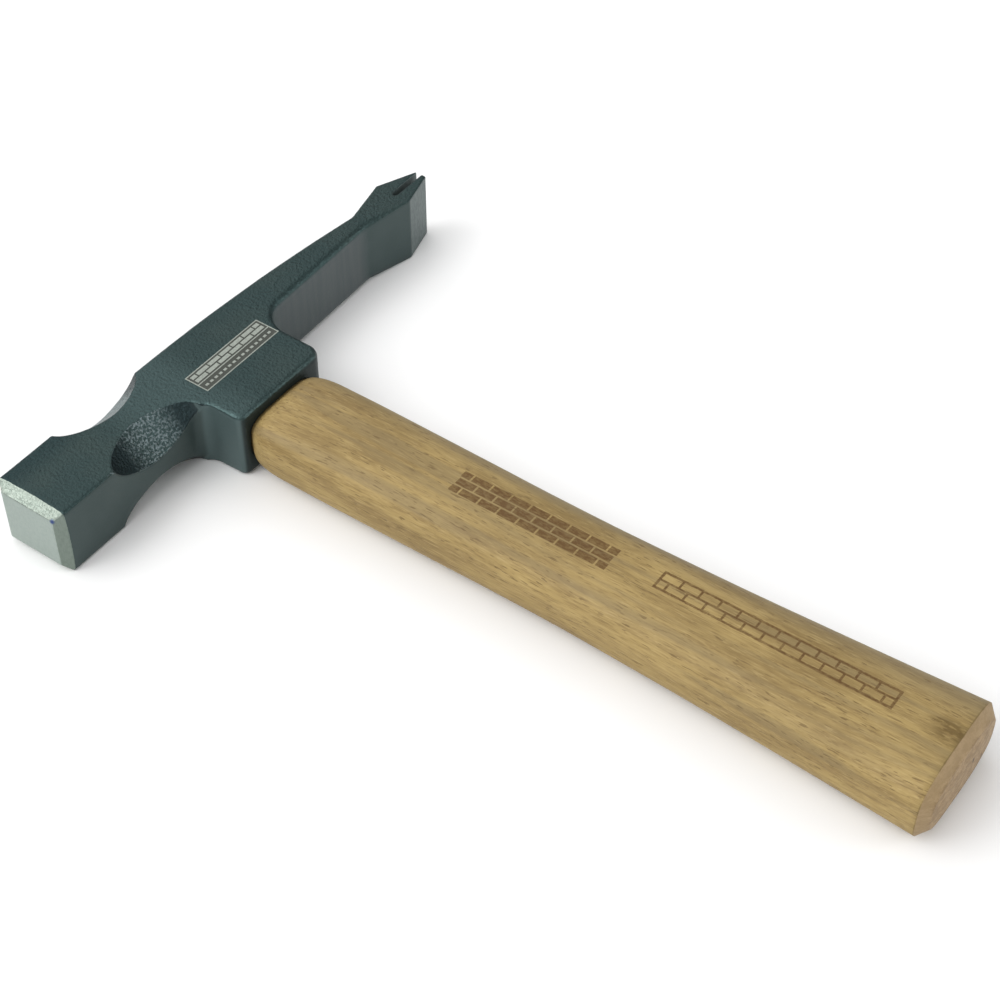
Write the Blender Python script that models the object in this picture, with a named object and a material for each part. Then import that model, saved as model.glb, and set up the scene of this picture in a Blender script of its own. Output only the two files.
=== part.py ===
"""Brick hammer with a single-ended scutch blade, lying on its cheek.

Frame: +X runs along the head towards the blade tip, the handle runs along -Y and +Z is the cheek's normal.
The origin is on the lower cheek, under the crossing of the head's and the handle's centre lines.
Lengths below are in millimetres and are turned into metres when a mesh is made.
"""
import math

import bmesh
import bpy
from mathutils import Matrix, Vector

MM = 0.001
GAP = 0.3                      # clearance kept between neighbouring pieces

# Head
HALF_THICK = 12.5              # cheek to mid-plane
FACE_X = -81.1                 # striking face
FACE_BEVEL_IN = 3.0            # ground bevel round the striking face, across the face
FACE_BEVEL_BACK = 2.7          # and along the head
POLL_HALF = 13.35
BOSS_X0, BOSS_X1 = -18.3, 21.5
MOUTH_Y = -30.0                # underside of the boss, where the handle leaves
CORNER_RADII = (2.9, 4.6)       # upright corners of the boss: poll side, blade side
POLL_FILLET, BLADE_FILLET = 5.3, 10.6
BACK_FLAT_X, BACK_Y = -19.0, 11.8
POLL_BACK_X = -55.0             # where the poll's back starts to drop towards the neck
UNDER_Y = -4.3                  # blade's underside, produced to the boss
BACK_STEPS = 14
WAIST_X, SHOULDER_X, TIP_X = 79.8, 97.7, 112.2
WAIST_Y0, WAIST_Y1 = -2.8, 4.5
SHOULDER_Y0, SHOULDER_Y1 = -6.6, 8.0
TIP_Y0, TIP_Y1 = -2.8, 1.7
EDGE_ROUND, UNDER_ROUND, TIP_ROUND = 1.25, 2.9, 0.4   # cheek edges: general, blade underside, tip
MOUTH_ROUND, MOUTH_ROUND_Y = 2.2, -24.0               # cheek edges by the mouth, and where they start
SCOOP_X, SCOOP_HALF_LEN, SCOOP_POWER = -38.3, 18.3, 1.7
SCOOP_DEPTH = {-1: 5.9, 1: 6.9}                # across the corner, by cheek: lower, upper
SCOOP_TILT, SCOOP_CUTTER_LEN = 45.0, 22.0      # degrees the scoop faces up from the side, cutter length
SLOT_X0, SLOT_Y, SLOT_WIDTH = 97.5, 0.15, 1.9

# Eye and tenon: station along Y, half length along X, half height along Z
EYE = ((-31.6, 14.7, 8.5), (-6.5, 13.8, 7.8), (14.4, 14.6, 8.6))
EYE_POWER = 4.0
TENON_TOP = 11.9

# Handle outside the head: station, half width, half height, squareness
GRIP = (
    (-42.5, 17.5, 11.1, 3.5), (-57.8, 17.5, 11.5, 3.4), (-78.0, 17.3, 11.7, 3.3),
    (-100.1, 17.1, 11.8, 3.2), (-123.0, 16.9, 11.8, 3.1), (-146.9, 16.9, 11.9, 3.1),
    (-170.0, 17.5, 12.0, 3.1), (-193.8, 18.3, 12.1, 3.1), (-228.9, 19.9, 12.3, 3.2),
    (-264.4, 21.8, 12.4, 3.3),
)
SHOULDER_START = -30.5
SHOULDER_STEPS = 5
BUTT = ((-267.3, 18.8, 9.5, 3.1), (-268.0, 13.0, 6.3, 2.8), (-268.2, 7.5, 3.4, 2.6))
RING_POINTS = 48

# Wedges
KERF_TOP, KERF_BOTTOM, KERF_END = 1.7, 0.45, -9.8    # half widths and depth station
WEDGE_TOP, WEDGE_END = 11.9, -8.4
STEEL_X = (-7.2, 7.2)
STEEL_HALF_THICK, STEEL_HALF_WIDTH, STEEL_END = 1.1, 5.2, -2.7


def clear_scene():
    for obj in list(bpy.data.objects):
        bpy.data.objects.remove(obj, do_unlink=True)
    for col in list(bpy.data.collections):
        bpy.data.collections.remove(col)


def new_collection(name):
    col = bpy.data.collections.new(name)
    bpy.context.scene.collection.children.link(col)
    return col


def new_material(name, colour, metallic, roughness):
    mat = bpy.data.materials.new(name)
    mat.use_nodes = True
    shader = mat.node_tree.nodes["Principled BSDF"]
    shader.inputs["Base Color"].default_value = (*colour, 1.0)
    shader.inputs["Metallic"].default_value = metallic
    shader.inputs["Roughness"].default_value = roughness
    mat.diffuse_color = (*colour, 1.0)
    return mat


def add_object(name, bm, collection, mat=None, smooth=False):
    bmesh.ops.recalc_face_normals(bm, faces=bm.faces)
    for face in bm.faces:
        face.smooth = smooth
    bmesh.ops.scale(bm, vec=(MM, MM, MM), verts=bm.verts)
    mesh = bpy.data.meshes.new(name)
    bm.to_mesh(mesh)
    bm.free()
    obj = bpy.data.objects.new(name, mesh)
    if mat:
        mesh.materials.append(mat)
    collection.objects.link(obj)
    return obj


def add_cutter(name, bm, collection):
    obj = add_object(name, bm, collection)
    obj.hide_render = True
    obj.display_type = 'WIRE'
    return obj


def cut(target, cutter, operation='DIFFERENCE'):
    mod = target.modifiers.new(cutter.name, 'BOOLEAN')
    mod.operation = operation
    mod.solver = 'EXACT'
    mod.object = cutter


def rounded_outline(corners, step_deg=15.0):
    """Closed outline whose corners (x, y, radius) are replaced by arcs."""
    points = []
    count = len(corners)
    for i, (x, y, radius) in enumerate(corners):
        here = Vector((x, y))
        if radius <= 0.0:
            points.append(here)
            continue
        before = (Vector(corners[i - 1][:2]) - here).normalized()
        after = (Vector(corners[(i + 1) % count][:2]) - here).normalized()
        half = before.angle(after) / 2.0
        centre = here + (before + after).normalized() * (radius / math.sin(half))
        start = here + before * (radius / math.tan(half)) - centre
        turn = start.angle_signed(here + after * (radius / math.tan(half)) - centre)
        steps = max(2, math.ceil(abs(math.degrees(turn)) / step_deg))
        for k in range(steps + 1):
            arm = start.copy()
            arm.rotate(Matrix.Rotation(-turn * k / steps, 2))
            points.append(centre + arm)
    return points


def prism(outline, z0, z1):
    bm = bmesh.new()
    base = bm.faces.new([bm.verts.new((p[0], p[1], z0)) for p in outline])
    grown = bmesh.ops.extrude_face_region(bm, geom=[base])["geom"]
    top = [item for item in grown if isinstance(item, bmesh.types.BMVert)]
    bmesh.ops.translate(bm, vec=(0, 0, z1 - z0), verts=top)
    return bm


def inset_outline(outline, radii, share):
    """Outline moved inwards by share of each point's radius, along the mitre of its two edges."""
    moved = []
    count = len(outline)
    for i, here in enumerate(outline):
        before = (here - outline[i - 1]).normalized()
        after = (outline[(i + 1) % count] - here).normalized()
        mitre = Vector((-before.y - after.y, before.x + after.x))
        mitre /= max(0.3, mitre.dot(Vector((-before.y, before.x))))
        moved.append(here + mitre * radii[i] * share)
    return moved


def rounded_prism(outline, radii, height, steps):
    """Prism from z = 0 to height whose upper and lower edges are rounded by each point's own radius."""
    rings = []
    for k in range(steps + 1):
        angle = math.pi / 2 * k / steps
        ring = inset_outline(outline, radii, 1.0 - math.sin(angle))
        rings.append([(p.x, p.y, r * (1.0 - math.cos(angle))) for p, r in zip(ring, radii)])
    rings += [[(x, y, height - z) for x, y, z in ring] for ring in reversed(rings)]
    return loft(rings)


def superellipse(half_a, half_b, power, points):
    """Points (a, b) round a superellipse."""
    ring = []
    for k in range(points):
        c, s = math.cos(math.tau * k / points), math.sin(math.tau * k / points)
        ring.append((half_a * math.copysign(abs(c) ** (2.0 / power), c),
                     half_b * math.copysign(abs(s) ** (2.0 / power), s)))
    return ring


def oval(y, half_x, half_z, power, points=RING_POINTS):
    """Superellipse ring in the plane y, centred on the head's mid-plane."""
    return [(u, y, HALF_THICK + v) for u, v in superellipse(half_x, half_z, power, points)]


def loft(rings):
    """Skin between rings of equal point count, closed by a flat face at each end."""
    bm = bmesh.new()
    rows = [[bm.verts.new(p) for p in ring] for ring in rings]
    for low, high in zip(rows, rows[1:]):
        for k in range(len(low)):
            nxt = (k + 1) % len(low)
            bm.faces.new((low[k], low[nxt], high[nxt], high[k]))
    bm.faces.new(rows[0])
    bm.faces.new(rows[-1])
    return bm


def smooth_stations(stations, steps):
    """Catmull-Rom interpolation of equal-length tuples."""
    padded = (stations[0],) + tuple(stations) + (stations[-1],)
    out = []
    for a, b, c, d in zip(padded, padded[1:], padded[2:], padded[3:]):
        for k in range(steps):
            t = k / steps
            out.append(tuple(0.5 * (
                2 * q + (r - p) * t + (2 * p - 5 * q + 4 * r - s) * t ** 2
                + (3 * q - p - 3 * r + s) * t ** 3) for p, q, r, s in zip(a, b, c, d)))
    out.append(tuple(stations[-1]))
    return out


def eye_section(y, shrink=0.0):
    """Half sizes of the tapered eye at station y."""
    (y0, a0, b0), (y1, a1, b1), (y2, a2, b2) = EYE
    if y < y1:
        t = (y - y0) / (y1 - y0)
        return a0 + (a1 - a0) * t - shrink, b0 + (b1 - b0) * t - shrink
    t = (y - y1) / (y2 - y1)
    return a1 + (a2 - a1) * t - shrink, b1 + (b2 - b1) * t - shrink


def rectangle(half_a, half_b):
    """Corner offsets of a rectangle, in order round it."""
    return [(u * half_a, v * half_b) for u, v in ((-1, -1), (1, -1), (1, 1), (-1, 1))]


def wedge_block(half_x, y_top, y_end, top, end):
    """Block along -Y with half heights that taper from top to end."""
    return loft([[(u, y, HALF_THICK + v) for u, v in rectangle(half_x, half_z)]
                 for y, half_z in ((y_top, top), (y_end, end))])


def steel_block(x, grow=0.0):
    """Cross wedge at x: thin along X, wide along Z, tapering in both towards its point."""
    rings = []
    for y, thick, width in ((TENON_TOP - 0.2 + 8 * grow, 1.0, 1.0), (STEEL_END - grow, 0.3, 0.8)):
        section = rectangle(STEEL_HALF_THICK * thick + grow, STEEL_HALF_WIDTH * width + grow)
        rings.append([(x + u, y, HALF_THICK + v) for u, v in section])
    return loft(rings)


def back_curve():
    """The head's back, from the waist to the flat over the neck."""
    span = WAIST_X - BACK_FLAT_X
    points = []
    for k in range(1, BACK_STEPS + 1):
        x = WAIST_X - span * k / BACK_STEPS
        points.append((x, BACK_Y - (BACK_Y - WAIST_Y1) * ((x - BACK_FLAT_X) / span) ** 2, 0.0))
    return points


def edge_radius(x, y):
    """Rounding of the cheek edge: wide by the mouth and the blade's underside, finest at the tip."""
    if y < MOUTH_ROUND_Y:
        return EDGE_ROUND + (MOUTH_ROUND - EDGE_ROUND) * (MOUTH_ROUND_Y - y) / (MOUTH_ROUND_Y - MOUTH_Y)
    fade = min(1.0, max(0.0, (SHOULDER_X - x) / (SHOULDER_X - WAIST_X)))
    if y < 0 and x > BOSS_X1:
        grow = min(1.0, (x - BOSS_X1) / 9.0)
        return TIP_ROUND + (EDGE_ROUND + (UNDER_ROUND - EDGE_ROUND) * grow - TIP_ROUND) * fade
    return TIP_ROUND + (EDGE_ROUND - TIP_ROUND) * fade


def build_head(collection, cutters, mat):
    corners = [
        (POLL_BACK_X, POLL_HALF, 0), (FACE_X, POLL_HALF, 0), (FACE_X, -POLL_HALF, 0),
        (BOSS_X0, -POLL_HALF - 0.2, POLL_FILLET), (BOSS_X0, MOUTH_Y, CORNER_RADII[0]),
        (BOSS_X1, MOUTH_Y, CORNER_RADII[1]), (BOSS_X1, UNDER_Y, BLADE_FILLET),
        (WAIST_X - 1.0, WAIST_Y0, 7.0), (SHOULDER_X, SHOULDER_Y0, 0.8), (TIP_X, TIP_Y0, 0.8),
        (TIP_X, TIP_Y1, 0.8), (SHOULDER_X, SHOULDER_Y1, 0.8), (WAIST_X, WAIST_Y1, 7.0),
    ] + back_curve()
    outline = rounded_outline(corners)
    radii = [edge_radius(p.x, p.y) for p in outline]
    bm = rounded_prism(outline, radii, 2 * HALF_THICK, 3)
    head = add_object("head", bm, collection, mat)

    # Frustum whose small end is the striking face: what lies outside it is ground away.
    reach = 60.0
    slope = FACE_BEVEL_IN / FACE_BEVEL_BACK
    rings = []
    for x in (FACE_X, FACE_X + reach, TIP_X + 20.0):
        grow = min(x - FACE_X, reach) * slope - FACE_BEVEL_IN
        rings.append([(x, u, HALF_THICK + v) for u, v in rectangle(POLL_HALF + grow, HALF_THICK + grow)])
    cut(head, add_cutter("cut_face_bevels", loft(rings), cutters), 'INTERSECT')

    for side_y in (-1, 1):
        for side_z in (-1, 1):
            # A lens-shaped bar whose length lies across the corner.
            half = SCOOP_CUTTER_LEN / 2
            lens = superellipse(SCOOP_HALF_LEN, SCOOP_DEPTH[side_z], SCOOP_POWER, 72)
            bm = loft([[(x, y, z) for x, y in lens] for z in (-half, half)])
            tilt = math.radians(SCOOP_TILT * side_y * side_z)
            bmesh.ops.rotate(bm, cent=(0, 0, 0), matrix=Matrix.Rotation(tilt, 3, 'X'), verts=bm.verts)
            corner = (SCOOP_X, side_y * POLL_HALF, HALF_THICK * (1 + side_z))
            bmesh.ops.translate(bm, vec=corner, verts=bm.verts)
            name = "cut_scoop_%s_%s" % ("back" if side_y > 0 else "front", "upper" if side_z > 0 else "lower")
            cut(head, add_cutter(name, bm, cutters))

    eye = loft([oval(y, a, b, EYE_POWER) for y, a, b in EYE])
    cut(head, add_cutter("cut_eye", eye, cutters))

    half = SLOT_WIDTH / 2
    mouth_x = TIP_X + 4.0
    slot = rounded_outline([
        (SLOT_X0, SLOT_Y - half, half * 0.99), (mouth_x, SLOT_Y - half, 0),
        (mouth_x, SLOT_Y + half, 0), (SLOT_X0, SLOT_Y + half, half * 0.99)], 20.0)
    cut(head, add_cutter("cut_comb_slot", prism(slot, -2.0, 2 * HALF_THICK + 2.0), cutters))
    return head


def build_handle(collection, cutters, mat):
    rings = []
    for y in (TENON_TOP, 4.0, -6.0, -18.0, SHOULDER_START):
        a, b = eye_section(y, GAP)
        rings.append((y, a, b, EYE_POWER))
    _, a0, b0, _ = rings[-1]
    y1, a1, b1, power1 = GRIP[0]
    for k in range(1, SHOULDER_STEPS):
        angle = math.pi / 2 * k / SHOULDER_STEPS
        rise, run = math.sin(angle), 1.0 - math.cos(angle)
        rings.append((
            SHOULDER_START + (y1 - SHOULDER_START) * run, a0 + (a1 - a0) * rise,
            b0 + (b1 - b0) * rise, EYE_POWER + (power1 - EYE_POWER) * rise))
    rings += smooth_stations(GRIP, 3)
    rings += BUTT
    handle = add_object("handle", loft([oval(*ring) for ring in rings]), collection, mat, smooth=True)

    kerf = wedge_block(20.0, TENON_TOP + 2.0, KERF_END, KERF_TOP, KERF_BOTTOM)
    cut(handle, add_cutter("cut_kerf", kerf, cutters))
    return handle


def build():
    clear_scene()
    hammer = new_collection("brick_hammer")
    cutters = new_collection("cutters")
    head = build_head(hammer, cutters, new_material("forged_steel", (0.060, 0.085, 0.082), 0.0, 0.45))
    handle = build_handle(hammer, cutters, new_material("hickory", (0.47, 0.34, 0.16), 0.0, 0.5))

    half_x = eye_section(WEDGE_END)[0] - 1.2
    # The wedge follows the kerf's taper, less the clearance on each side.
    slope = (KERF_TOP - KERF_BOTTOM) / (TENON_TOP + 2.0 - KERF_END)
    top = KERF_TOP - slope * (TENON_TOP + 2.0 - WEDGE_TOP) - GAP
    end = max(0.15, top - slope * (WEDGE_TOP - WEDGE_END))
    wedge = add_object("wooden_wedge", wedge_block(half_x, WEDGE_TOP, WEDGE_END, top, end), hammer,
                       new_material("wedge_wood", (0.38, 0.24, 0.11), 0.0, 0.6))

    steel = new_material("wedge_steel", (0.30, 0.30, 0.31), 1.0, 0.45)
    for name, x in zip(("steel_wedge_poll_side", "steel_wedge_blade_side"), STEEL_X):
        pocket = add_cutter("cut_" + name, steel_block(x, GAP), cutters)
        cut(handle, pocket)
        cut(wedge, pocket)
        add_object(name, steel_block(x), hammer, steel)
    bpy.context.view_layer.update()


build()
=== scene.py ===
"""Brick hammer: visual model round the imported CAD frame.

Frame: +X runs along the head towards the blade tip, the handle runs along -Y and +Z is the
cheek's normal. Lengths are in millimetres until a mesh is made.
"""
import math

import bmesh
import bpy
from mathutils import Matrix, Vector, noise


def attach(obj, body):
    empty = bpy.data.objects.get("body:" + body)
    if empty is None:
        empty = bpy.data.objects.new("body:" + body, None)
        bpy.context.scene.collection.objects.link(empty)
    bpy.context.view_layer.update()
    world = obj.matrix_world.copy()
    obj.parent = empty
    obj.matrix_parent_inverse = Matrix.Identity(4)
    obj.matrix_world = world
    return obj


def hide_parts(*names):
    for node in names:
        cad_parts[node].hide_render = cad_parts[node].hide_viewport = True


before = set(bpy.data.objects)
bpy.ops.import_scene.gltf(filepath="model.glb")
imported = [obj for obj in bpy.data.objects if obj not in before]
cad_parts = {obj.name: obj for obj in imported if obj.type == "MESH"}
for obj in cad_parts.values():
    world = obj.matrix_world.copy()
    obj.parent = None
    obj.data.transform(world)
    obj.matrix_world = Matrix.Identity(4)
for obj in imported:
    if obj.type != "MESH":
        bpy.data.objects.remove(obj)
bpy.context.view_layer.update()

MM = 0.001

# ---------------------------------------------------------------- sizes of the head
HALF_THICK = 12.5
FACE_X = -81.1
FACE_BEVEL_IN, FACE_BEVEL_BACK = 3.0, 2.7
FACE_CROWN = 0.45              # the ground bevels are this much deeper in the middle of each side
POLL_HALF = 13.35
BOSS_X0, BOSS_X1 = -18.3, 21.5
MOUTH_Y = -30.0
CORNER_RADII = (2.9, 4.6)
POLL_FILLET, BLADE_FILLET = 5.3, 10.6
BACK_FLAT_X, BACK_Y = -19.0, 11.8
POLL_BACK_X = -55.0
UNDER_Y = -4.3
BACK_STEPS = 36
WAIST_X, SHOULDER_X, TIP_X = 79.8, 97.7, 112.2
WAIST_Y0, WAIST_Y1 = -2.8, 4.5
SHOULDER_Y0, SHOULDER_Y1 = -6.6, 8.0
TIP_Y0, TIP_Y1 = -2.8, 1.7
EDGE_ROUND, UNDER_ROUND, TIP_ROUND = 1.25, 2.9, 0.4
MOUTH_ROUND, MOUTH_ROUND_Y = 2.2, -24.0
SCOOP_X, SCOOP_HALF_LEN, SCOOP_POWER = -38.3, 18.3, 1.7
SCOOP_DEPTH = {-1: 5.9, 1: 6.9}
SCOOP_TILT, SCOOP_CUTTER_LEN = 45.0, 22.0
HEAT_SPOT = (FACE_X, FACE_BEVEL_IN - POLL_HALF, 2 * HALF_THICK - FACE_BEVEL_IN)
SLOT_X0, SLOT_Y, SLOT_WIDTH = 97.5, 0.15, 1.9

EYE = ((-31.6, 14.7, 8.5), (-6.5, 13.8, 7.8), (14.4, 14.6, 8.6))
EYE_POWER = 4.0
TENON_TOP = 11.9
GAP = 0.3                      # between the tenon and the eye's wall
KERF = ((TENON_TOP + 2.0, 1.7), (-9.8, 0.45))                    # y and half-width
STEEL_WEDGE_X = 7.2
STEEL_WEDGE_SEAT = ((TENON_TOP + 2.2, 1.4, 5.5), (-3.0, 0.63, 4.46))   # y, half-thickness, half-width

# y, half-width, half-height and superellipse power of each section
GRIP = (
    (-42.5, 17.5, 11.1, 3.5), (-57.8, 17.5, 11.5, 3.4), (-78.0, 17.3, 11.7, 3.3),
    (-100.1, 17.1, 11.8, 3.2), (-123.0, 16.9, 11.8, 3.1), (-146.9, 16.9, 11.9, 3.1),
    (-170.0, 17.5, 12.0, 3.1), (-193.8, 18.3, 12.1, 3.1), (-228.9, 19.9, 12.3, 3.2),
    (-264.4, 21.8, 12.4, 3.3),
)
SHOULDER_START = -30.5
SHOULDER_STEPS, GRIP_STEPS = 14, 10
BUTT = ((-267.3, 18.8, 9.5, 3.1), (-268.0, 13.0, 6.3, 2.8), (-268.2, 7.5, 3.4, 2.6))
RING_POINTS = 144
CUTTER_POINTS = 96

HEAD_VOXEL = 0.34
HEAD_SOFTEN_STEPS = 4
CUTTER_REACH = 60.0            # how far behind the face the bevel cutter stops widening
PEEL_DEPTH = 0.10              # deepest dip of the forged surface under its paint

# ---------------------------------------------------------------- sizes of the marks
BADGE_X0, BADGE_X1 = -14.1, 20.3
BADGE_Y0, BADGE_Y1 = -12.9, -3.4
BADGE_SPLIT_Y = -8.75
BADGE_LINE = 0.38
BADGE_GROUND_Z = 24.90
BADGE_PRINT_Z = 24.96
BADGE_SEAT_DEPTH, BADGE_SEAT_FADE = 0.11, 1.5
BADGE_MARGIN, BADGE_JOINT, BADGE_BRICKS = 1.2, 0.55, 6
BADGE_DASHES, BADGE_DASH_HALF = 15, 0.42
BRAND_WALL = (-98.0, -153.5, -4.4, 5.4)        # y0, y1, x0, x1 of the burned bricks
BRAND_LINES = (-168.5, -244.0, -1.0, 5.6)      # y0, y1, x0, x1 of the burned outlines
BRAND_LINE_HALF = 0.42                         # half-width of the outlines' border
END_HOLES = ((10.3, 10.2), (-5.0, 6.3), (3.4, 15.5))   # x and z of the pits in the end grain
SCORCH = (1.4, -261.0)                          # x and y of the scorched spot's middle

# ---------------------------------------------------------------- mesh helpers


def rounded_outline(corners, step_deg=5.0):
    """Closed outline whose corners (x, y, radius) are replaced by arcs."""
    points = []
    count = len(corners)
    for i, (x, y, radius) in enumerate(corners):
        here = Vector((x, y))
        if radius <= 0.0:
            points.append(here)
            continue
        before = (Vector(corners[i - 1][:2]) - here).normalized()
        after = (Vector(corners[(i + 1) % count][:2]) - here).normalized()
        half = before.angle(after) / 2.0
        centre = here + (before + after).normalized() * (radius / math.sin(half))
        start = here + before * (radius / math.tan(half)) - centre
        turn = start.angle_signed(here + after * (radius / math.tan(half)) - centre)
        steps = max(2, math.ceil(abs(math.degrees(turn)) / step_deg))
        for k in range(steps + 1):
            arm = start.copy()
            arm.rotate(Matrix.Rotation(-turn * k / steps, 2))
            points.append(centre + arm)
    return points


def loft(rings):
    """Skin between rings of equal point count, closed by a flat face at each end."""
    bm = bmesh.new()
    rows = [[bm.verts.new(p) for p in ring] for ring in rings]
    for low, high in zip(rows, rows[1:]):
        for k in range(len(low)):
            nxt = (k + 1) % len(low)
            bm.faces.new((low[k], low[nxt], high[nxt], high[k]))
    bm.faces.new(rows[0])
    bm.faces.new(rows[-1])
    return bm


def inset_outline(outline, radii, share):
    """Outline moved inwards at each point by a share of its radius."""
    moved = []
    count = len(outline)
    for i, here in enumerate(outline):
        before = (here - outline[i - 1]).normalized()
        after = (outline[(i + 1) % count] - here).normalized()
        mitre = Vector((-before.y - after.y, before.x + after.x))
        mitre /= max(0.3, mitre.dot(Vector((-before.y, before.x))))
        moved.append(here + mitre * radii[i] * share)
    return moved


def rounded_prism(outline, radii, height, steps):
    """Prism from z = 0 to height whose upper and lower edges are rounded by each point's own radius."""
    rings = []
    for k in range(steps + 1):
        angle = math.pi / 2 * k / steps
        ring = inset_outline(outline, radii, 1.0 - math.sin(angle))
        rings.append([(p.x, p.y, r * (1.0 - math.cos(angle))) for p, r in zip(ring, radii)])
    rings += [[(x, y, height - z) for x, y, z in ring] for ring in reversed(rings)]
    return loft(rings)


def superellipse(half_a, half_b, power, points):
    """Points (a, b) round a superellipse."""
    ring = []
    for k in range(points):
        c, s = math.cos(math.tau * k / points), math.sin(math.tau * k / points)
        ring.append((half_a * math.copysign(abs(c) ** (2.0 / power), c),
                     half_b * math.copysign(abs(s) ** (2.0 / power), s)))
    return ring


def oval(y, half_x, half_z, power, points=RING_POINTS):
    """Superellipse ring in the plane y, centred on the head's mid-plane."""
    return [(u, y, HALF_THICK + v) for u, v in superellipse(half_x, half_z, power, points)]


def smooth_stations(stations, steps):
    """Catmull-Rom interpolation of equal-length tuples."""
    padded = (stations[0],) + tuple(stations) + (stations[-1],)
    out = []
    for a, b, c, d in zip(padded, padded[1:], padded[2:], padded[3:]):
        for k in range(steps):
            t = k / steps
            out.append(tuple(0.5 * (
                2 * q + (r - p) * t + (2 * p - 5 * q + 4 * r - s) * t ** 2
                + (3 * q - p - 3 * r + s) * t ** 3) for p, q, r, s in zip(a, b, c, d)))
    out.append(tuple(stations[-1]))
    return out


def make_object(name, bm, materials=(), smooth=True):
    bmesh.ops.recalc_face_normals(bm, faces=bm.faces)
    for face in bm.faces:
        face.smooth = smooth
    bmesh.ops.scale(bm, vec=(MM, MM, MM), verts=bm.verts)
    mesh = bpy.data.meshes.new(name)
    bm.to_mesh(mesh)
    bm.free()
    for mat in materials:
        mesh.materials.append(mat)
    obj = bpy.data.objects.new(name, mesh)
    bpy.context.scene.collection.objects.link(obj)
    return obj


def bake_modifiers(obj):
    """Replaces the mesh by its evaluated self and drops the modifiers."""
    depsgraph = bpy.context.evaluated_depsgraph_get()
    mesh = bpy.data.meshes.new_from_object(obj.evaluated_get(depsgraph))
    old = obj.data
    obj.modifiers.clear()
    obj.data = mesh
    bpy.data.meshes.remove(old)


def cut(target, bm, operation='DIFFERENCE'):
    """One Boolean with the given mesh, applied and cleaned of slivers."""
    cutter = make_object("cutter", bm)
    mod = target.modifiers.new("cut", 'BOOLEAN')
    mod.operation = operation
    mod.solver = 'EXACT'
    mod.object = cutter
    bake_modifiers(target)
    bpy.data.objects.remove(cutter, do_unlink=True)
    clean = bmesh.new()
    clean.from_mesh(target.data)
    bmesh.ops.remove_doubles(clean, verts=clean.verts, dist=0.002 * MM)
    bmesh.ops.dissolve_degenerate(clean, edges=clean.edges, dist=0.001 * MM)
    clean.to_mesh(target.data)
    clean.free()


def add_block(bm, x0, x1, y0, y1, z0, z1):
    bmesh.ops.create_cube(bm, size=1.0, matrix=Matrix.Translation(
        ((x0 + x1) / 2, (y0 + y1) / 2, (z0 + z1) / 2)) @ Matrix.Diagonal(
        (x1 - x0, y1 - y0, z1 - z0, 1.0)))


# ---------------------------------------------------------------- head


def back_curve():
    """The blade's long back: a parabola from the waist to the boss."""
    span = WAIST_X - BACK_FLAT_X
    points = []
    for k in range(1, BACK_STEPS + 1):
        x = WAIST_X - span * k / BACK_STEPS
        points.append((x, BACK_Y - (BACK_Y - WAIST_Y1) * ((x - BACK_FLAT_X) / span) ** 2, 0.0))
    return points


def edge_radius(x, y):
    """Rounding of the cheek's edge: wide under the blade and at the mouth, sharp at the tip."""
    if y < MOUTH_ROUND_Y:
        return EDGE_ROUND + (MOUTH_ROUND - EDGE_ROUND) * (MOUTH_ROUND_Y - y) / (MOUTH_ROUND_Y - MOUTH_Y)
    fade = min(1.0, max(0.0, (SHOULDER_X - x) / (SHOULDER_X - WAIST_X)))
    if y < 0 and x > BOSS_X1:
        grow = min(1.0, (x - BOSS_X1) / 9.0)
        return TIP_ROUND + (EDGE_ROUND + (UNDER_ROUND - EDGE_ROUND) * grow - TIP_ROUND) * fade
    return TIP_ROUND + (EDGE_ROUND - TIP_ROUND) * fade


def crowned_square(x, half_a, half_b, dip, steps=12):
    """Rectangle ring in the plane x whose four sides bow inwards by dip in their middle."""
    ring = []
    corners = [(-1, -1), (1, -1), (1, 1), (-1, 1)]
    for i, (u0, v0) in enumerate(corners):
        u1, v1 = corners[(i + 1) % 4]
        for k in range(steps):
            t = k / steps
            bow = 1.0 - (2.0 * t - 1.0) ** 2
            u, v = (u0 + (u1 - u0) * t) * half_a, (v0 + (v1 - v0) * t) * half_b
            if u0 == u1:
                u -= math.copysign(dip * bow, u0)
            else:
                v -= math.copysign(dip * bow, v0)
            ring.append((x, u, HALF_THICK + v))
    return ring


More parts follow.
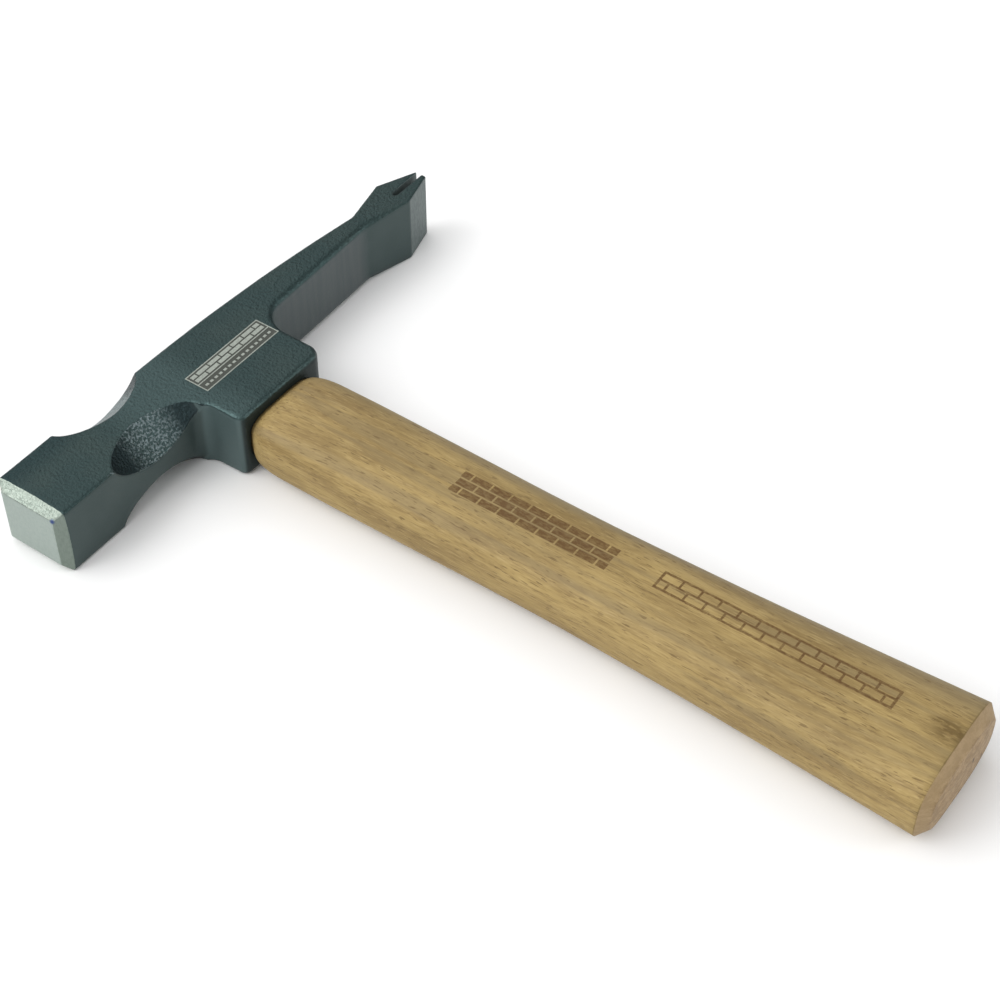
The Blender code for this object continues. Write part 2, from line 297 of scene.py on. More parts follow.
def build_head():
    corners = [
        (POLL_BACK_X, POLL_HALF, 0), (FACE_X, POLL_HALF, 0), (FACE_X, -POLL_HALF, 0),
        (BOSS_X0, -POLL_HALF - 0.2, POLL_FILLET), (BOSS_X0, MOUTH_Y, CORNER_RADII[0]),
        (BOSS_X1, MOUTH_Y, CORNER_RADII[1]), (BOSS_X1, UNDER_Y, BLADE_FILLET),
        (WAIST_X - 1.0, WAIST_Y0, 7.0), (SHOULDER_X, SHOULDER_Y0, 0.8), (TIP_X, TIP_Y0, 0.8),
        (TIP_X, TIP_Y1, 0.8), (SHOULDER_X, SHOULDER_Y1, 0.8), (WAIST_X, WAIST_Y1, 7.0),
    ] + back_curve()
    outline = rounded_outline(corners)
    radii = [edge_radius(p.x, p.y) for p in outline]
    head = make_object("head_forged", rounded_prism(outline, radii, 2 * HALF_THICK, 8))

    # the ground bevels: a block that widens from the striking face backwards
    slope = FACE_BEVEL_IN / FACE_BEVEL_BACK
    rings = []
    for x in (FACE_X, FACE_X + 0.4 * FACE_BEVEL_BACK, FACE_X + FACE_BEVEL_BACK,
              FACE_X + CUTTER_REACH, TIP_X + 20.0):
        back = min(x - FACE_X, CUTTER_REACH)
        grow = back * slope - FACE_BEVEL_IN
        dip = FACE_CROWN * min(1.0, back / FACE_BEVEL_BACK)
        rings.append(crowned_square(x, POLL_HALF + grow, HALF_THICK + grow, dip))
    cut(head, loft(rings), 'INTERSECT')

    half = SCOOP_CUTTER_LEN / 2
    for side_y in (-1, 1):
        for side_z in (-1, 1):
            lens = superellipse(SCOOP_HALF_LEN, SCOOP_DEPTH[side_z], SCOOP_POWER, CUTTER_POINTS)
            bm = loft([[(x, y, z) for x, y in lens] for z in (-half, half)])
            tilt = math.radians(SCOOP_TILT * side_y * side_z)
            bmesh.ops.rotate(bm, cent=(0, 0, 0), matrix=Matrix.Rotation(tilt, 3, 'X'), verts=bm.verts)
            corner = (SCOOP_X, side_y * POLL_HALF, HALF_THICK * (1 + side_z))
            bmesh.ops.translate(bm, vec=corner, verts=bm.verts)
            cut(head, bm)

    cut(head, loft([oval(y, a, b, EYE_POWER, CUTTER_POINTS) for y, a, b in EYE]))

    half = SLOT_WIDTH / 2
    mouth_x = TIP_X + 4.0
    slot = rounded_outline([
        (SLOT_X0, SLOT_Y - half, half * 0.99), (mouth_x, SLOT_Y - half, 0),
        (mouth_x, SLOT_Y + half, 0), (SLOT_X0, SLOT_Y + half, half * 0.99)], 10.0)
    cut(head, loft([[(p.x, p.y, z) for p in slot] for z in (-2.0, 2 * HALF_THICK + 2.0)]))

    remesh = head.modifiers.new("remesh", 'REMESH')
    remesh.mode = 'VOXEL'
    remesh.voxel_size = HEAD_VOXEL * MM
    remesh.use_smooth_shade = True
    soften = head.modifiers.new("soften", 'SMOOTH')
    soften.factor = 0.5
    soften.iterations = HEAD_SOFTEN_STEPS
    bake_modifiers(head)
    forge_surface(head)
    return head


def forge_surface(head):
    """Slight unevenness of a forged and painted surface, always inwards."""
    mesh = head.data
    normals = [v.normal.copy() for v in mesh.vertices]
    for vert, normal in zip(mesh.vertices, normals):
        p = vert.co / MM
        if p.x < FACE_X + FACE_BEVEL_BACK + 0.7 and normal.x < -0.2:
            depth = 0.02 * (1.0 + noise.noise(p * 1.1))
        else:
            flat = abs(normal.z)
            depth = PEEL_DEPTH * (0.5 + 0.35 * noise.noise(p * 0.09)
                                  + 0.4 * flat * noise.noise(p * 0.6))
        # the badge sits in a shallow flat seat
        dx = max(BADGE_X0 - p.x, p.x - BADGE_X1, 0.0)
        dy = max(BADGE_Y0 - p.y, p.y - BADGE_Y1, 0.0)
        if normal.z > 0.8 and p.z > HALF_THICK:
            near = max(0.0, 1.0 - math.hypot(dx, dy) / BADGE_SEAT_FADE)
            depth += (BADGE_SEAT_DEPTH - depth) * near
        vert.co = vert.co - normal * depth * MM


def build_badge():
    """Thin printed plate: a dark ground, a border with one divider, two brick courses and a row of dashes."""
    bm = bmesh.new()
    add_block(bm, BADGE_X0, BADGE_X1, BADGE_Y0, BADGE_Y1, BADGE_GROUND_Z - 0.25, BADGE_GROUND_Z)
    ground = make_object("badge_ground", bm, smooth=False)

    bm = bmesh.new()
    low, w = BADGE_GROUND_Z - 0.05, BADGE_LINE
    for x0, x1, y0, y1 in (
            (BADGE_X0, BADGE_X1, BADGE_Y0, BADGE_Y0 + w),
            (BADGE_X0, BADGE_X1, BADGE_Y1 - w, BADGE_Y1),
            (BADGE_X0, BADGE_X0 + w, BADGE_Y0 + w, BADGE_Y1 - w),
            (BADGE_X1 - w, BADGE_X1, BADGE_Y0 + w, BADGE_Y1 - w),
            (BADGE_X0 + w, BADGE_X1 - w, BADGE_SPLIT_Y - w / 2, BADGE_SPLIT_Y + w / 2)):
        add_block(bm, x0, x1, y0, y1, low, BADGE_PRINT_Z)
    left, right = BADGE_X0 + BADGE_MARGIN, BADGE_X1 - BADGE_MARGIN
    joint = BADGE_JOINT
    course_low, course_high = BADGE_SPLIT_Y + 0.85, BADGE_Y1 - 1.05
    tall = (course_high - course_low - joint) / 2
    pitch = (right - left + joint) / BADGE_BRICKS
    for row in range(2):
        y0 = course_low + row * (tall + joint)
        edges = [left + k * pitch for k in range(BADGE_BRICKS)] + [right + joint]
        if row:
            edges = [left] + [left + (k + 0.5) * pitch for k in range(BADGE_BRICKS)] + [right + joint]
        for x0, x1 in zip(edges, edges[1:]):
            add_block(bm, x0, x1 - joint, y0, y0 + tall, low, BADGE_PRINT_Z)
    pitch = (right - left) / BADGE_DASHES
    middle = (BADGE_Y0 + w + BADGE_SPLIT_Y - w / 2) / 2
    for k in range(BADGE_DASHES):
        x0 = left + (k + 0.22) * pitch
        add_block(bm, x0, x0 + 0.56 * pitch, middle - BADGE_DASH_HALF, middle + BADGE_DASH_HALF,
                  low, BADGE_PRINT_Z)
    return ground, make_object("badge_print", bm, smooth=False)


# ---------------------------------------------------------------- handle


def eye_section(y, shrink):
    """Half-width and half-height of the eye at y, less the given gap."""
    (y0, a0, b0), (y1, a1, b1), (y2, a2, b2) = EYE
    if y < y1:
        t = (y - y0) / (y1 - y0)
        return a0 + (a1 - a0) * t - shrink, b0 + (b1 - b0) * t - shrink
    t = (y - y1) / (y2 - y1)
    return a1 + (a2 - a1) * t - shrink, b1 + (b2 - b1) * t - shrink


def build_handle():
    rings = []
    for y in (TENON_TOP, TENON_TOP - 0.05, 4.0, -6.0, -18.0, -25.0, SHOULDER_START):
        a, b = eye_section(y, GAP)
        rings.append((y, a, b, EYE_POWER))
    _, a0, b0, _ = rings[-1]
    y1, a1, b1, power1 = GRIP[0]
    for k in range(1, SHOULDER_STEPS):
        angle = math.pi / 2 * k / SHOULDER_STEPS
        rise, run = math.sin(angle), 1.0 - math.cos(angle)
        rings.append((
            SHOULDER_START + (y1 - SHOULDER_START) * run, a0 + (a1 - a0) * rise,
            b0 + (b1 - b0) * rise, EYE_POWER + (power1 - EYE_POWER) * rise))
    rings += smooth_stations(GRIP, GRIP_STEPS)
    # extra rings keep the butt chamfer's two edges crisp
    edge = rings[-1]
    for t in (0.08, 0.2, 0.5, 0.85, 0.95):
        rings.append(tuple(q + (r - q) * t for q, r in zip(edge, BUTT[0])))
    rings.append(BUTT[0])
    for start, end in zip(BUTT, BUTT[1:]):
        for t in (0.12, 0.4, 0.7, 1.0):
            rings.append(tuple(q + (r - q) * t for q, r in zip(start, end)))
    for share in (0.66, 0.33, 0.08):
        y, a, b, p = BUTT[-1]
        rings.append((y, a * share, b * share, p))
    handle = make_object("handle_hickory", loft([oval(*ring) for ring in rings]))

    kerf = loft([[(u, y, HALF_THICK + v) for u, v in ((-20, -h), (20, -h), (20, h), (-20, h))]
                 for y, h in KERF])
    cut(handle, kerf)
    for x in (-STEEL_WEDGE_X, STEEL_WEDGE_X):
        rings = []
        for y, thick, width in STEEL_WEDGE_SEAT:
            rings.append([(x + u * thick, y, HALF_THICK + v * width)
                          for u, v in ((-1, -1), (1, -1), (1, 1), (-1, 1))])
        cut(handle, loft(rings))
    return handle


# ---------------------------------------------------------------- shader helpers


class Graph:
    """Adds linked shader nodes to one material."""

    def __init__(self, name):
        self.material = bpy.data.materials.new(name)
        self.material.use_nodes = True
        self.tree = self.material.node_tree
        self.shader = self.tree.nodes["Principled BSDF"]

    def plug(self, socket, value):
        if isinstance(value, bpy.types.NodeSocket):
            self.tree.links.new(value, socket)
        elif isinstance(value, tuple) and len(value) == 3 and socket.type == 'RGBA':
            socket.default_value = (*value, 1.0)
        else:
            socket.default_value = value

    def add(self, kind, inputs=None, **props):
        node = self.tree.nodes.new("ShaderNode" + kind)
        for key, value in props.items():
            setattr(node, key, value)
        for key, value in (inputs or {}).items():
            self.plug(node.inputs[key], value)
        return node

    def math(self, operation, a, b=0.0):
        return self.add("Math", {0: a, 1: b}, operation=operation).outputs[0]

    def times(self, first, *others):
        for other in others:
            first = self.math('MULTIPLY', first, other)
        return first

    def size(self, value):
        """Absolute value."""
        return self.math('ABSOLUTE', value)

    def distance(self, vector, point):
        return self.add("VectorMath", {0: vector, 1: point}, operation='DISTANCE').outputs["Value"]

    def ramp(self, value, low, high, to_low=0.0, to_high=1.0):
        """Smooth step of value from low to high."""
        return self.add("MapRange", {"Value": value, "From Min": low, "From Max": high, "To Min": to_low,
                                     "To Max": to_high}, interpolation_type='SMOOTHSTEP').outputs[0]

    def mix(self, share, a, b):
        node = self.add("Mix", data_type='RGBA')
        self.plug(node.inputs[0], share)
        self.plug(node.inputs[6], a)
        self.plug(node.inputs[7], b)
        return node.outputs[2]

    def blend(self, share, a, b):
        node = self.add("Mix", data_type='FLOAT')
        self.plug(node.inputs[0], share)
        self.plug(node.inputs[2], a)
        self.plug(node.inputs[3], b)
        return node.outputs[0]

    def noise(self, vector, scale, detail=3.0, roughness=0.5):
        return self.add("TexNoise", {"Vector": vector, "Scale": scale, "Detail": detail,
                                     "Roughness": roughness}).outputs[0]

    def grain(self, vector, across, along, detail=3.0, roughness=0.5):
        """Noise with one scale along the handle and another across it."""
        return self.noise(self.scaled(vector, across, along, across), 1.0, detail, roughness)

    def scaled(self, vector, x, y, z):
        return self.add("VectorMath", {0: vector, 1: (x, y, z)}, operation='MULTIPLY').outputs[0]

    def bricks(self, x, y, area, count, rows, joint):
        """1 on the bricks and 0 on the joints of a running bond that fills the area."""
        y0, y1, x0, x1 = area
        along = self.math('SUBTRACT', y0, y)
        across = self.math('SUBTRACT', x, x0)
        spot = self.add("CombineXYZ", {0: along, 1: across}).outputs[0]
        node = self.add("TexBrick", {
            "Vector": spot, "Scale": 1.0, "Mortar Size": joint, "Mortar Smooth": 0.3,
            "Brick Width": (y0 - y1) / count, "Row Height": (x1 - x0) / rows})
        return self.math('SUBTRACT', 1.0, node.outputs["Fac"])

    def inside(self, x, y, area, edge, grow=0.0):
        """1 inside the area grown by so much, with an edge that wanders by about 0.3 mm."""
        y0, y1, x0, x1 = area[0] + grow, area[1] - grow, area[2] - grow, area[3] + grow
        gap_y = self.math('SUBTRACT', self.size(self.math('SUBTRACT', y, (y0 + y1) / 2)), (y0 - y1) / 2)
        gap_x = self.math('SUBTRACT', self.size(self.math('SUBTRACT', x, (x0 + x1) / 2)), (x1 - x0) / 2)
        gap = self.math('ADD', self.math('MAXIMUM', gap_x, gap_y), self.math('MULTIPLY', edge, 0.4))
        return self.ramp(gap, 0.32, 0.08)

    def place(self):
        """Object position in millimetres, its three parts, and the normal's three parts."""
        coords = self.add("TexCoord")
        here = self.scaled(coords.outputs["Object"], 1000.0, 1000.0, 1000.0)
        parts = self.add("SeparateXYZ", {0: here}).outputs
        facing = self.add("SeparateXYZ", {0: coords.outputs["Normal"]}).outputs
        return here, parts, facing

    def bump(self, height, distance_mm, strength=1.0, normal=None):
        inputs = {"Height": height, "Distance": distance_mm * MM, "Strength": strength}
        if normal:
            inputs["Normal"] = normal
        return self.add("Bump", inputs).outputs[0]


def steel_material():
    """Textured teal paint, smoother on the sides, with bare ground steel at both working ends."""
    g = Graph("painted_forged_steel")
    here, (x, y, _), (nx, ny, nz) = g.place()
    flat = g.ramp(g.size(nz), 0.30, 0.62)
    upright = g.ramp(g.size(ny), 0.55, 0.85)

    # paint colours on the cheeks
    broad = g.noise(here, 0.05, 2.0)
    speck = g.noise(here, 1.3, 3.0, 0.6)
    fine = g.noise(here, 4.0, 2.0, 0.6)
    cheek = g.mix(g.ramp(broad, 0.35, 0.65), (0.035, 0.059, 0.059), (0.041, 0.064, 0.062))
    # painted highlight: the cheek is drawn palest on the poll side of the eye; painted shade: it is drawn
    # darkest at the back of the poll
    painted_gloss_patch = g.ramp(g.size(g.math('ADD', x, 25.0)), 22.0, 7.0)
    cheek = g.mix(painted_gloss_patch, cheek, (0.055, 0.088, 0.088))
    painted_poll_shade = g.times(g.ramp(y, 2.0, 11.0), g.ramp(x, -44.0, -56.0))
    cheek = g.mix(painted_poll_shade, cheek, (0.024, 0.045, 0.047))
    cheek = g.mix(g.ramp(fine, 0.50, 0.72, 0.0, 0.5), cheek, (0.068, 0.100, 0.098))

    # paint colours on the sides, with painted light making the boss's wall paler and painted shade making the
    # rim of its mouth nearly black
    side = g.mix(g.ramp(broad, 0.35, 0.65), (0.046, 0.070, 0.069), (0.056, 0.081, 0.080))
    # painted light: the boss's wall facing the poll is drawn paler, as if lit from the left
    wall = g.times(g.ramp(nx, -0.55, -0.80), g.ramp(x, BOSS_X0 - 4.0, BOSS_X0 - 1.0))
    side = g.mix(wall, side, (0.080, 0.118, 0.118))
    # painted shade: the rim of the mouth, where the handle enters, is drawn nearly black
    mouth = g.ramp(y, MOUTH_Y + 1.5, MOUTH_Y + 0.4)
    side = g.mix(mouth, side, (0.016, 0.027, 0.027))
    streaks = g.noise(g.scaled(here, 0.5, 0.5, 0.04), 1.0, 3.0)
    blade = g.mix(g.ramp(streaks, 0.35, 0.65), (0.074, 0.092, 0.094), (0.084, 0.100, 0.102))
    under = g.times(g.ramp(x, BOSS_X1 + 2.0, BOSS_X1 + 12.0), g.ramp(x, WAIST_X, WAIST_X - 7.0))
    side = g.mix(g.times(upright, under), side, blade)
    paint = g.mix(flat, side, cheek)

    # painted shade and painted highlights in the scoops: drawn dark at their steep ends, with bright specks
    # in their middle
    slant = g.times(
        g.ramp(g.size(ny), 0.30, 0.48), g.ramp(g.size(nz), 0.30, 0.48),
        g.times(g.ramp(x, -60.0, -57.0), g.ramp(x, -17.0, -20.0)))
    ends = g.ramp(g.size(g.math('ADD', nx, 0.05)), 0.10, 0.36)
    paint = g.mix(g.times(slant, ends, 0.72), paint, (0.012, 0.020, 0.024))
    painted_scoop_glints = g.times(g.ramp(speck, 0.46, 0.60), g.math('SUBTRACT', 1.0, ends))
    paint = g.mix(g.times(slant, painted_scoop_glints, 0.85), paint, (0.230, 0.285, 0.300))

    # paint wear and a painted highlight, drawn paler where the surface turns sharply outwards
    point = g.add("NewGeometry").outputs["Pointiness"]
    wear_and_edge_highlight = g.times(g.ramp(point, 0.52, 0.57), g.ramp(fine, 0.35, 0.6))
    paint = g.mix(g.times(wear_and_edge_highlight, 0.30), paint, (0.20, 0.24, 0.24))

    # ground faces
    wander = g.times(g.math('SUBTRACT', g.noise(here, 0.9, 3.0), 0.5), 0.5)
    ground = g.times(g.ramp(g.math('ADD', nx, wander), -0.30, -0.42),
                     g.ramp(x, FACE_X + 4.5, FACE_X + 3.8))
    scratch = g.noise(g.scaled(here, 0.5, 3.5, 0.5), 1.0, 4.0, 0.65)
    mottle = g.noise(here, 0.8, 4.0, 0.7)
    grit = g.math('ADD', g.times(scratch, 0.5), g.times(mottle, 0.5))
    # the bevels are ground more coarsely than the face
    bevel = g.ramp(nx, -0.96, -0.90)
    shade = g.mix(g.ramp(grit, 0.38, 0.62), (0.272, 0.325, 0.297), (0.335, 0.388, 0.355))
    coarse = g.mix(g.ramp(grit, 0.40, 0.60), (0.235, 0.280, 0.244), (0.388, 0.444, 0.392))
    bare = g.mix(bevel, shade, coarse)
    # painted shade: the bevel towards the handle is drawn darker
    bare = g.mix(g.ramp(ny, -0.30, -0.55, 0.0, 0.75), bare, (0.138, 0.176, 0.150))
    # heat stain at the ground corner
    bare = g.mix(g.ramp(g.distance(here, HEAT_SPOT), 1.3, 0.3), bare, (0.04, 0.07, 0.20))

    # the tip's facet keeps a thin coat of paint, and its end is bare
    facet = g.times(g.ramp(x, SHOULDER_X + 0.2, SHOULDER_X + 0.9), g.ramp(ny, -0.5, -0.8))
    tip = g.times(g.ramp(x, TIP_X - 0.7, TIP_X - 0.2), g.ramp(nx, 0.5, 0.8))
    thin = g.mix(g.ramp(scratch, 0.35, 0.65), (0.088, 0.117, 0.117), (0.143, 0.174, 0.170))

    steel = g.math('MAXIMUM', ground, tip)
    colour = g.mix(g.times(facet, 0.85), paint, thin)
    colour = g.mix(steel, colour, bare)
    g.plug(g.shader.inputs["Base Color"], colour)
    metal = g.math('MAXIMUM', g.times(steel, 0.6), g.times(facet, 0.35))
    metal = g.math('MAXIMUM', metal, g.blend(flat, 0.40, 0.88))
    g.plug(g.shader.inputs["Metallic"], metal)
    rough = g.blend(flat, 0.48, g.ramp(speck, 0.35, 0.65, 0.30, 0.44))
    rough = g.blend(ground, rough, g.ramp(grit, 0.35, 0.65, 0.36, 0.52))
    g.plug(g.shader.inputs["Roughness"], rough)
    g.shader.inputs["Specular IOR Level"].default_value = 0.35

    peel = g.times(g.noise(here, 1.05, 3.0, 0.55), g.blend(flat, 0.12, g.blend(slant, 0.8, 1.6)))
    normal = g.bump(peel, 0.46, 1.0)
    rough_grind = g.times(grit, ground, g.blend(bevel, 0.35, 1.0))
    g.plug(g.shader.inputs["Normal"], g.bump(rough_grind, 0.22, 0.7, normal))
    return g.material


def wood_material():
    """Hickory with burned marks on its upper side, a scorch by the butt, and end grain."""
    g = Graph("hickory")
    here, (x, y, _), (_, ny, nz) = g.place()
    warp = g.grain(here, 0.03, 0.006, 2.0)
    sway = g.scaled(g.add("CombineXYZ", {0: warp, 2: warp}).outputs[0], 9.0, 0.0, 9.0)
    shifted = g.add("VectorMath", {0: here, 1: sway}, operation='ADD').outputs[0]
    patch = g.grain(shifted, 0.14, 0.026, 3.0, 0.6)
    streak = g.grain(shifted, 0.75, 0.045, 3.0, 0.65)
    strand = g.grain(shifted, 2.4, 0.17, 2.0, 0.7)
    band = g.grain(shifted, 0.20, 0.006, 1.0)
    tone = g.mix(g.ramp(patch, 0.32, 0.68), (0.240, 0.164, 0.059), (0.366, 0.261, 0.098))
    for figure, low, high, share, colour in (
            (streak, 0.48, 0.72, 0.50, (0.188, 0.118, 0.039)),
            (streak, 0.45, 0.28, 0.35, (0.455, 0.338, 0.139)),
            (strand, 0.50, 0.72, 0.60, (0.175, 0.110, 0.038)),
            (strand, 0.46, 0.30, 0.35, (0.490, 0.371, 0.169)),
            (band, 0.50, 0.66, 0.50, (0.205, 0.151, 0.071))):
        tone = g.mix(g.ramp(figure, low, high, 0.0, share), tone, colour)
    # the wood is drawn greyer along the blade side
    greyer_blade_side = g.ramp(g.math('ADD', x, g.times(patch, 6.0)), 8.0, 19.0, 0.0, 0.55)
    tone = g.mix(greyer_blade_side, tone, (0.196, 0.155, 0.090))
    # pores: short dark dashes, gathered in bands
    pore = g.grain(shifted, 2.3, 0.24, 1.0)
    gather = g.ramp(g.grain(shifted, 0.30, 0.03, 2.0), 0.36, 0.56)
    dash = g.times(g.ramp(pore, 0.62, 0.69), gather)
    tone = g.mix(g.times(dash, 0.60), tone, (0.105, 0.058, 0.018))

    # burned marks on the upper side: a wall of bricks, then a course of thin outlines
    upper = g.ramp(nz, 0.55, 0.7)
    wall = g.bricks(x, y, BRAND_WALL, 8, 3, 0.36)
    lines = g.math('SUBTRACT', 1.0, g.bricks(x, y, BRAND_LINES, 12, 2, 0.42))
    char = g.ramp(g.grain(here, 1.2, 0.5, 3.0, 0.7), 0.30, 0.62, 0.55, 1.0)
    edge = g.noise(here, 1.6, 2.0)
    border = g.math('SUBTRACT', 1.0, g.inside(x, y, BRAND_LINES, edge, -BRAND_LINE_HALF))
    lines = g.times(g.math('MAXIMUM', lines, border),
                    g.inside(x, y, BRAND_LINES, edge, BRAND_LINE_HALF))
    burn = g.math('MAXIMUM', g.times(wall, g.inside(x, y, BRAND_WALL, edge)), lines)
    burn = g.times(burn, upper, char)
    tone = g.mix(g.times(burn, 0.90), tone, (0.095, 0.043, 0.008))

    # scorch near the butt
    away = g.distance(g.scaled(here, 0.16, 0.12, 0.0), (0.16 * SCORCH[0], 0.12 * SCORCH[1], 0.0))
    away = g.math('ADD', away, g.times(g.math('SUBTRACT', streak, 0.5), 1.2))
    scorch = g.times(g.ramp(away, 1.05, 0.25),
                     g.ramp(g.grain(here, 0.9, 0.30, 2.0, 0.6), 0.36, 0.56, 0.35, 1.0))
    tone = g.mix(g.times(scorch, upper, 0.80), tone, (0.105, 0.062, 0.014))

    # end grain
    end = g.times(g.ramp(ny, -0.30, -0.55), g.ramp(y, -263.0, -264.2))
    growth = g.noise(g.scaled(here, 0.30, 0.1, 0.9), 1.0, 4.0, 0.65)
    stipple = g.noise(g.scaled(here, 2.2, 1.0, 1.6), 1.0, 3.0, 0.6)
    end_tone = g.mix(g.ramp(growth, 0.38, 0.64), (0.268, 0.180, 0.090), (0.397, 0.278, 0.152))
    end_tone = g.mix(g.ramp(stipple, 0.45, 0.70, 0.0, 0.5), end_tone, (0.195, 0.125, 0.065))
    # the chamfer is greener than the pinkish end face
    chamfer = g.ramp(y, BUTT[0][0] - 0.2, BUTT[0][0] + 0.9, 0.0, 0.6)
    end_tone = g.mix(chamfer, end_tone, (0.335, 0.236, 0.116))
    for hole_x, hole_z in END_HOLES:
        hole = g.distance(g.scaled(here, 1.0, 0.0, 0.45), (hole_x, 0.0, 0.45 * hole_z))
        hole = g.math('ADD', hole, g.times(stipple, 0.5))
        end_tone = g.mix(g.ramp(hole, 0.85, 0.55), end_tone, (0.045, 0.024, 0.012))
    tone = g.mix(end, tone, end_tone)
    # dark, uneven line where the sides meet the chamfer
    rim = g.size(g.math('SUBTRACT', y, GRIP[-1][0] + 0.1))
    rim = g.math('ADD', rim, g.times(g.math('SUBTRACT', patch, 0.35), 1.4))
    tone = g.mix(g.ramp(rim, 0.55, 0.15, 0.0, 0.7), tone, (0.135, 0.085, 0.022))

    g.plug(g.shader.inputs["Base Color"], tone)
    g.plug(g.shader.inputs["Roughness"], g.ramp(streak, 0.3, 0.7, 0.66, 0.54))
    g.shader.inputs["Specular IOR Level"].default_value = 0.35
    height = g.math('SUBTRACT', g.times(strand, 0.35), g.times(dash, 0.8))
    height = g.math('SUBTRACT', height, g.times(burn, 0.7))
    g.plug(g.shader.inputs["Normal"], g.bump(height, 0.12, 0.6))
    return g.material


def plain_material(name, colour, roughness, metallic=0.0):
    """One colour, slightly mottled and uneven."""
    g = Graph(name)
    here, _, _ = g.place()
    mottle = g.ramp(g.noise(here, 1.2, 4.0, 0.6), 0.35, 0.65)
    tone = g.mix(mottle, tuple(c * 0.8 for c in colour), colour)
    g.plug(g.shader.inputs["Base Color"], tone)
    g.shader.inputs["Roughness"].default_value = roughness
    g.shader.inputs["Metallic"].default_value = metallic
    g.plug(g.shader.inputs["Normal"], g.bump(g.noise(here, 2.5, 3.0), 0.08, 0.6))
    return g.material


def dress(node, material):
    """Gives a CAD node a better material."""
    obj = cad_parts[node]
    for slot in obj.material_slots:
        slot.material = material
    if not obj.material_slots:
        obj.data.materials.append(material)


def build_object():
    steel = steel_material()
    head = build_head()
    head.data.materials.clear()
    head.data.materials.append(steel)
    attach(head, "root")
    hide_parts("head")

    handle = build_handle()
    handle.data.materials.clear()
    handle.data.materials.append(wood_material())
    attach(handle, "root")
    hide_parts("handle")

    plate, lines = build_badge()
    plate.data.materials.append(plain_material("badge_ground", (0.040, 0.046, 0.036), 0.5))
    lines.data.materials.append(plain_material("badge_silver", (0.34, 0.37, 0.33), 0.42, 0.6))
    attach(plate, "root")
    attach(lines, "root")

    dress("wooden_wedge", plain_material("wedge_wood", (0.34, 0.20, 0.09), 0.6))
    wedge_steel = plain_material("wedge_steel", (0.42, 0.42, 0.43), 0.38, 1.0)
    for node in ("steel_wedge_poll_side", "steel_wedge_blade_side"):
        dress(node, wedge_steel)


# ---------------------------------------------------------------- stage

CAMERA_PLACE = (-343.960, -357.806, 467.061)
CAMERA_RIGHT = (0.580452, -0.814290, 0.002815)
CAMERA_DOWN = (-0.587662, -0.421292, -0.690772)
CAMERA_FORWARD = (0.563674, 0.399306, -0.723067)
CAMERA_LENS = 74.673

FLOOR_DROP = 0.05
SKY_BASE = 0.27
# azimuth and elevation in degrees, half-angle where the glow starts and where it is full, added radiance
SKY_LOBES = (
    (108.0, 50.0, 68.0, 30.0, 1.05),
    (-52.0, 24.0, 27.0, 9.0, 2.6),
    (188.0, 40.0, 45.0, 18.0, 0.9),
)


def add_area(name, place, target, side, power):
    light = bpy.data.lights.new(name, 'AREA')
    light.shape = 'RECTANGLE'
    light.size = light.size_y = side
    light.energy = power
    obj = bpy.data.objects.new(name, light)
    obj.location = place
    obj.rotation_mode = 'QUATERNION'
    obj.rotation_quaternion = (Vector(target) - Vector(place)).to_track_quat('-Z', 'Y')
    bpy.context.scene.collection.objects.link(obj)


def build_floor():
    bm = bmesh.new()
    bmesh.ops.create_grid(bm, x_segments=1, y_segments=1, size=3000.0)
    bmesh.ops.translate(bm, vec=(0, 0, -FLOOR_DROP), verts=bm.verts)
    floor = make_object("floor", bm, smooth=False)
    g = Graph("floor_white")
    here, _, _ = g.place()
    tone = g.mix(g.noise(here, 0.02, 2.0), (0.90, 0.90, 0.90), (0.93, 0.93, 0.93))
    g.plug(g.shader.inputs["Base Color"], tone)
    g.shader.inputs["Roughness"].default_value = 0.9
    floor.data.materials.append(g.material)


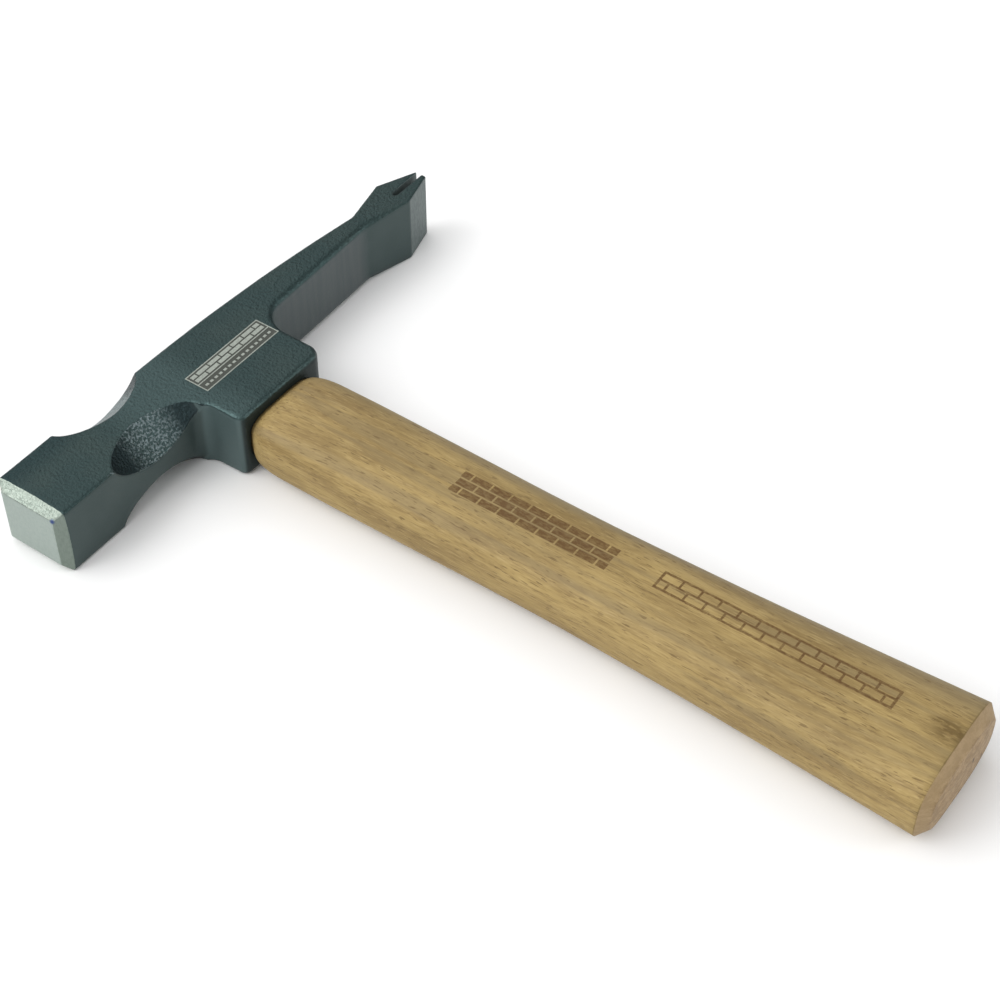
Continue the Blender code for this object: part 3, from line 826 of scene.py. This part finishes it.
def build_sky():
    """An even white world with a few soft glows."""
    world = bpy.data.worlds.new("studio")
    world.use_nodes = True
    tree = world.node_tree
    background = tree.nodes["Background"].inputs
    background["Color"].default_value = (1.0, 1.0, 1.0, 1.0)
    ray = tree.nodes.new("ShaderNodeTexCoord").outputs["Generated"]
    total = None
    for azimuth, elevation, wide, narrow, power in SKY_LOBES:
        turn, rise = math.radians(azimuth), math.radians(elevation)
        lobe = tree.nodes.new("ShaderNodeVectorMath")
        lobe.operation = 'DOT_PRODUCT'
        tree.links.new(ray, lobe.inputs[0])
        lobe.inputs[1].default_value = (
            math.cos(turn) * math.cos(rise), math.sin(turn) * math.cos(rise), math.sin(rise))
        fade = tree.nodes.new("ShaderNodeMapRange")
        fade.interpolation_type = 'SMOOTHSTEP'
        tree.links.new(lobe.outputs["Value"], fade.inputs["Value"])
        fade.inputs["From Min"].default_value = math.cos(math.radians(wide))
        fade.inputs["From Max"].default_value = math.cos(math.radians(narrow))
        fade.inputs["To Max"].default_value = power
        add = tree.nodes.new("ShaderNodeMath")
        if total is None:
            add.inputs[0].default_value = SKY_BASE
        else:
            tree.links.new(total, add.inputs[0])
        tree.links.new(fade.outputs[0], add.inputs[1])
        total = add.outputs[0]
    tree.links.new(total, background["Strength"])
    bpy.context.scene.world = world


def build_camera():
    camera = bpy.data.cameras.new("camera")
    camera.sensor_width = 36.0
    camera.lens = CAMERA_LENS
    camera.clip_start, camera.clip_end = 0.01, 20.0
    obj = bpy.data.objects.new("camera", camera)
    right, up, back = Vector(CAMERA_RIGHT), -Vector(CAMERA_DOWN), -Vector(CAMERA_FORWARD)
    turn = Matrix((right, up, back)).transposed().to_4x4()
    obj.matrix_world = Matrix.Translation(Vector(CAMERA_PLACE) * MM) @ turn
    bpy.context.scene.collection.objects.link(obj)
    bpy.context.scene.camera = obj


build_object()
build_floor()
build_sky()
bpy.context.scene.view_settings.view_transform = 'Standard'
add_area("softbox_key", (-0.75, 0.60, 0.95), (0.0, -0.1, 0.0), 0.9, 6.5)
add_area("softbox_back", (0.44, 0.32, 0.62), (-0.03, -0.01, 0.02), 0.16, 0.16)
build_camera()
bpy.context.view_layer.update()
